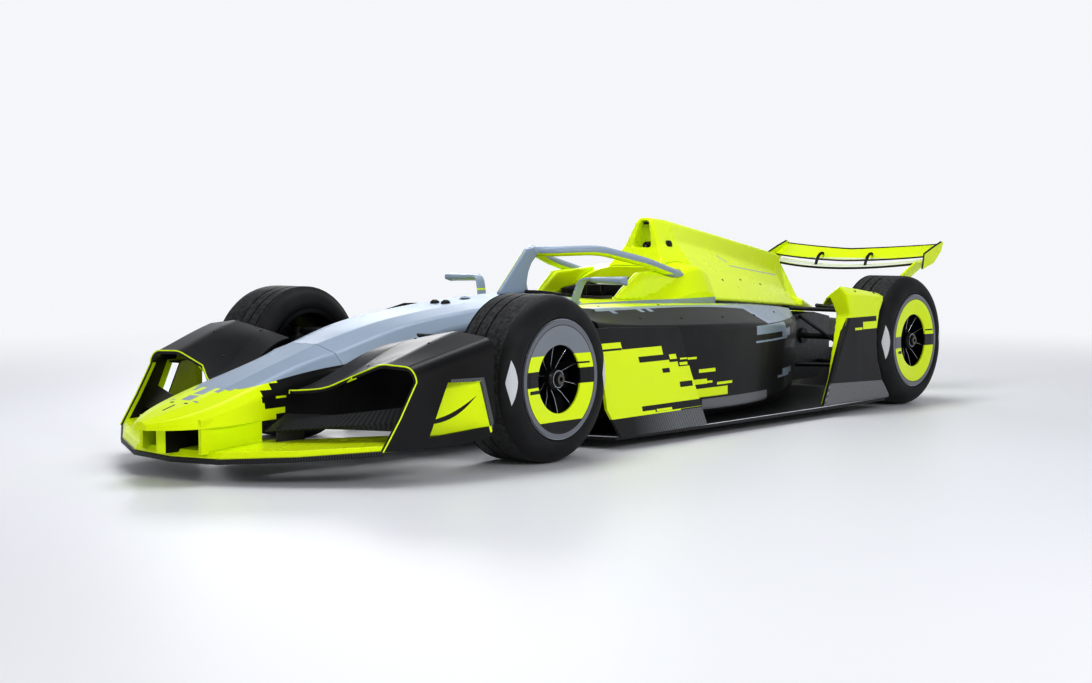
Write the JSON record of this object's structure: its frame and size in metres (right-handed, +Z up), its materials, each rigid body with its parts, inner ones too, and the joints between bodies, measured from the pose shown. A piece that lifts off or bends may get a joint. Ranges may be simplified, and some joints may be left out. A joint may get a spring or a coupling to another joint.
{
  "type": "open wheel racing car",
  "caption": "Single seat open wheel racing car with halo, front and rear wings, wheel fairings, sidepods, steered front wheels and an open cockpit.",
  "frame": {"origin": "on the ground at the middle of the overall length and width", "axes": "+X forward to the nose, +Y to the car's left, +Z up"},
  "size_m": [5.54, 1.744, 0.9969],
  "materials": {
    "cell_paint": "satin silver-blue paint, lime around the cockpit",
    "nose_paint": "satin silver-blue top, lime tip, black sides",
    "wing_paint": "gloss lime paint over carbon lip",
    "fairing_paint": "satin black with lime edge line",
    "cover_paint": "gloss lime paint",
    "pod_paint": "satin black with silver and lime bars",
    "panel_paint": "gloss lime with black bars, carbon foot",
    "rear_fairing_paint": "gloss lime top, black lower side",
    "rear_wing_paint": "gloss lime paint with black edge lines",
    "halo_paint": "satin silver-blue paint",
    "cover_disc_paint": "lime disc with dark band",
    "carbon": "carbon fibre twill",
    "cast_metal": "cast and machined alloy",
    "dark_steel": "dark steel",
    "rim_metal": "satin black forged alloy",
    "tyre_rubber": "grooved road racing tread",
    "collar_paint": "gloss lime paint",
    "foam_black": "black padded cover",
    "grip_black": "moulded grips",
    "lamp_red": "red lamp lens"
  },
  "bodies": {
    "chassis": {"survival_cell": "cell_paint", "nose_cone": "nose_paint", "front_wing": "wing_paint", "front_flaps": "carbon", "front_fairing_left": "fairing_paint", "front_fairing_right": "fairing_paint", "roll_hoop": "cover_paint", "engine_cover": "cover_paint", "sidepod_left": "pod_paint", "sidepod_right": "pod_paint", "side_panels": "panel_paint", "floor": "carbon", "diffuser": "carbon", "rear_fairings": "rear_fairing_paint", "rear_wing_plane": "rear_wing_paint", "rear_wing_flap": "rear_wing_paint", "rear_wing_supports": "cover_paint", "drive_unit": "cast_metal", "battery_block": "cast_metal", "tail_cone": "carbon", "rain_light": "lamp_red", "halo": "halo_paint", "headrest": "foam_black", "cockpit_collar": "collar_paint", "driver_seat": "carbon", "steering_column": "dark_steel", "mirrors": "halo_paint", "front_suspension": "carbon", "rear_suspension": "carbon", "rear_uprights": "cast_metal"},
    "steering_wheel": {"steering_wheel": "grip_black"},
    "knuckle_left": {"front_upright_left": "cast_metal"},
    "knuckle_right": {"front_upright_right": "cast_metal"},
    "steering_rack": {"steering_rack": "dark_steel"},
    "wheel_front_left": {"tyre_front_left": "tyre_rubber", "rim_front_left": "rim_metal", "wheel_cover_front_left": "cover_disc_paint"},
    "wheel_front_right": {"tyre_front_right": "tyre_rubber", "rim_front_right": "rim_metal", "wheel_cover_front_right": "cover_disc_paint"},
    "wheel_rear_left": {"tyre_rear_left": "tyre_rubber", "rim_rear_left": "rim_metal", "wheel_cover_rear_left": "cover_disc_paint"},
    "wheel_rear_right": {"tyre_rear_right": "tyre_rubber", "rim_rear_right": "rim_metal", "wheel_cover_rear_right": "cover_disc_paint"}
  },
  "joints": [
    {"name": "steer_left", "type": "hinge", "parent": "chassis", "child": "knuckle_left", "pos_m": [1.33, 0.64, 0.343], "axis": [0, 0, 1], "range_deg": [-18, 18]},
    {"name": "steer_right", "type": "hinge", "parent": "chassis", "child": "knuckle_right", "pos_m": [1.33, -0.64, 0.343], "axis": [0, 0, 1], "range_deg": [-18, 18]},
    {"name": "rack_slide", "type": "slide", "parent": "chassis", "child": "steering_rack", "axis": [0, 1, 0], "range_m": [-0.0365, 0.0365]},
    {"name": "steering_wheel_turn", "type": "hinge", "parent": "chassis", "child": "steering_wheel", "pos_m": [0.36, 0, 0.556], "axis": [-0.9613, 0, 0.2756], "range_deg": [-181, 181]},
    {"name": "spin_front_left", "type": "hinge", "parent": "knuckle_left", "child": "wheel_front_left", "pos_m": [1.33, 0.718, 0.343], "axis": [0, 1, 0], "continuous": true},
    {"name": "spin_front_right", "type": "hinge", "parent": "knuckle_right", "child": "wheel_front_right", "pos_m": [1.33, -0.718, 0.343], "axis": [0, 1, 0], "continuous": true},
    {"name": "spin_rear_left", "type": "hinge", "parent": "chassis", "child": "wheel_rear_left", "pos_m": [-1.75, 0.718, 0.343], "axis": [0, 1, 0], "continuous": true},
    {"name": "spin_rear_right", "type": "hinge", "parent": "chassis", "child": "wheel_rear_right", "pos_m": [-1.75, -0.718, 0.343], "axis": [0, 1, 0], "continuous": true}
  ],
  "couplings": [
    {"joint": "steer_right", "follows": "steer_left", "ratio": 1},
    {"joint": "rack_slide", "follows": "steer_left", "m_per_rad": 0.115},
    {"joint": "steering_wheel_turn", "follows": "steer_left", "ratio": 10}
  ]
}
